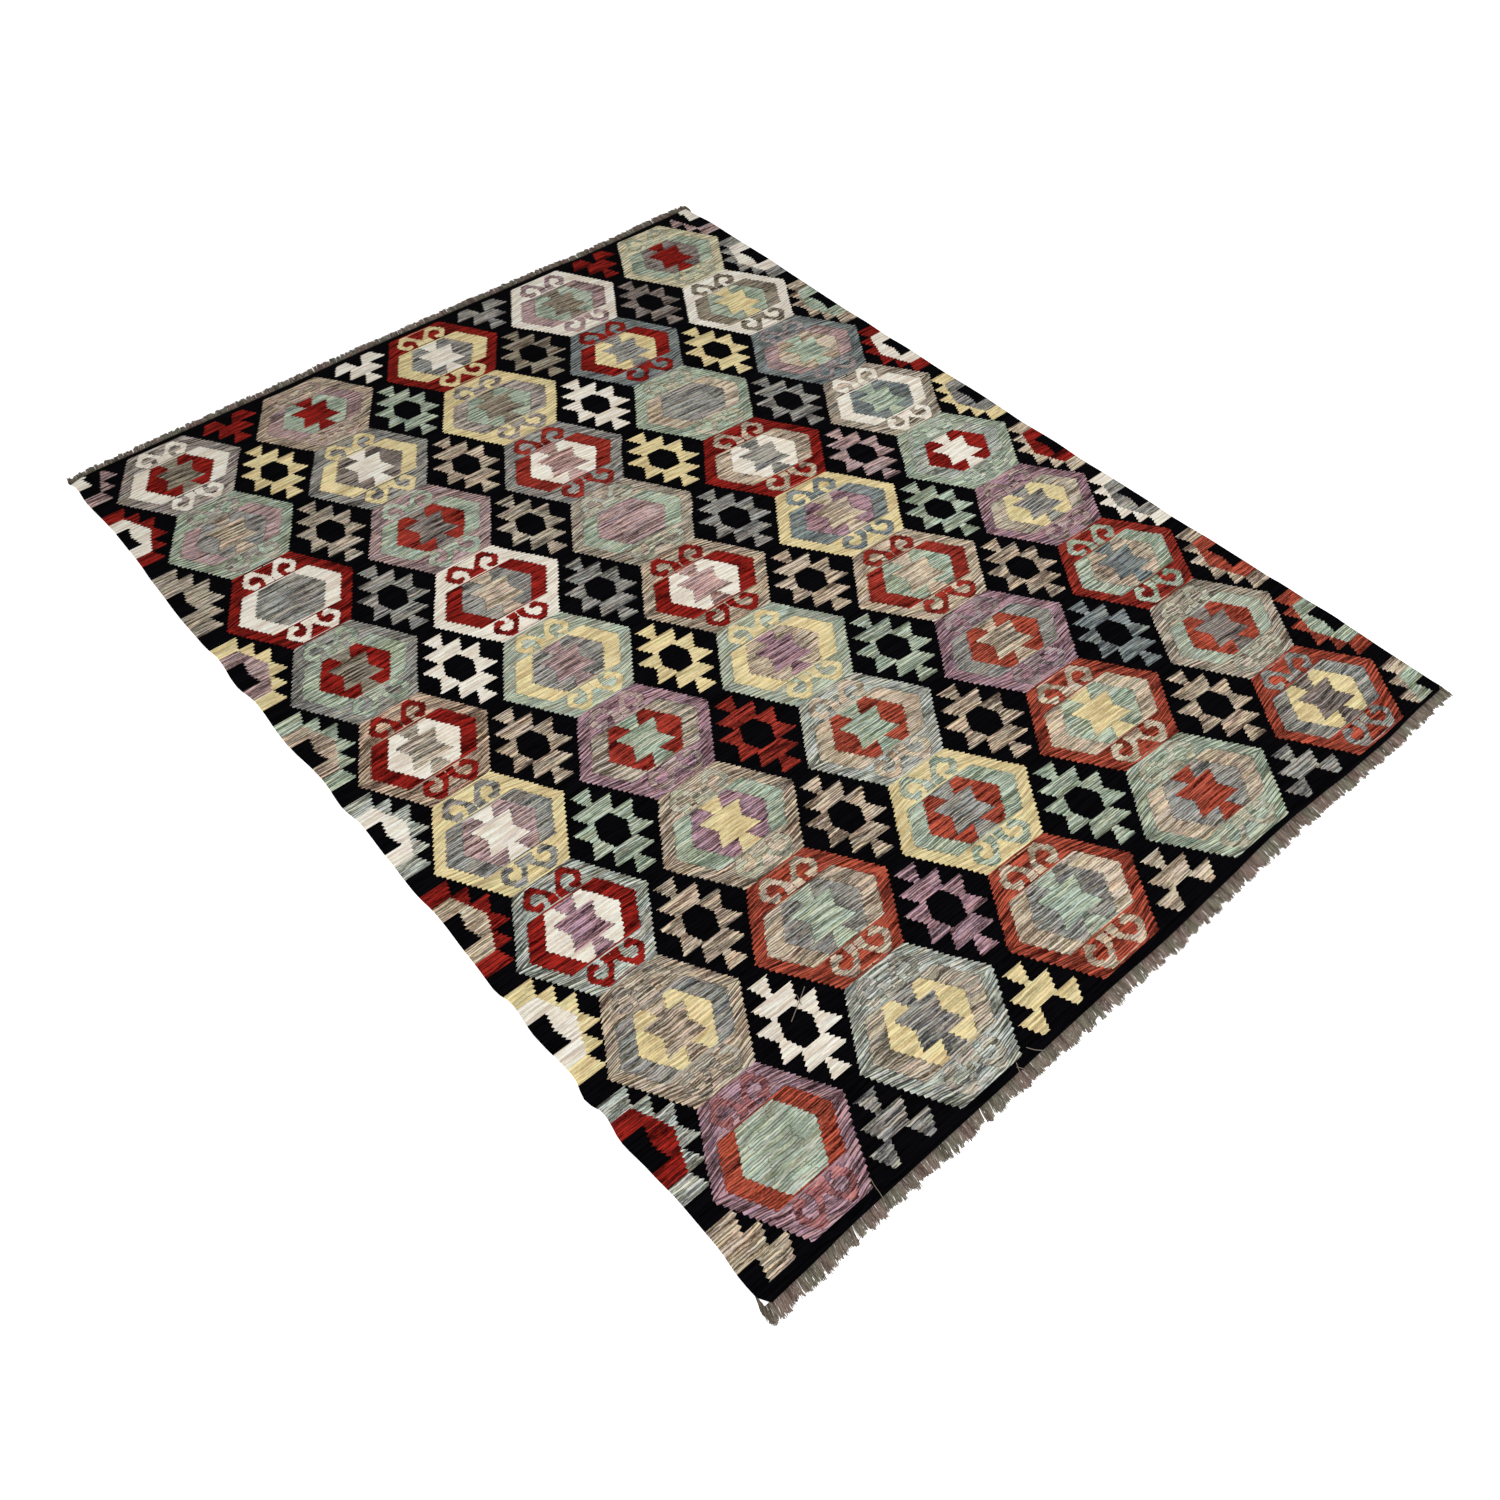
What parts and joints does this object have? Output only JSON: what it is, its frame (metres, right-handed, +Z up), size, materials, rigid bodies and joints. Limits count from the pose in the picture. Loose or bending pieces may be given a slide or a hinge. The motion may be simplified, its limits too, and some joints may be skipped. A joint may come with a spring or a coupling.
{
  "type": "kilim rug",
  "caption": "Rectangular flat-woven kilim rug with stacked hexagon medallions and stepped stars on black, plain selvedges and a short cut warp fringe at both ends.",
  "frame": {"origin": "middle of the rug's footprint, on the ground under its back", "axes": "+X across the rug, +Y along the warps towards the far end, +Z up from the back to the face"},
  "size_m": [2.027, 2.689, 0.003],
  "materials": {
    "woven_wool": "weft-faced wool tapestry, ribbed and matt, in black, crimson, brick, cream, straw, mint, slate, olive, taupe and mauve",
    "warp_fringe": "cut grey-brown and white wool warp ends, matt and fuzzy"
  },
  "bodies": {
    "root": {"woven_cloth": "woven_wool", "fringe_far": "warp_fringe", "fringe_near": "warp_fringe"}
  },
  "joints": []
}
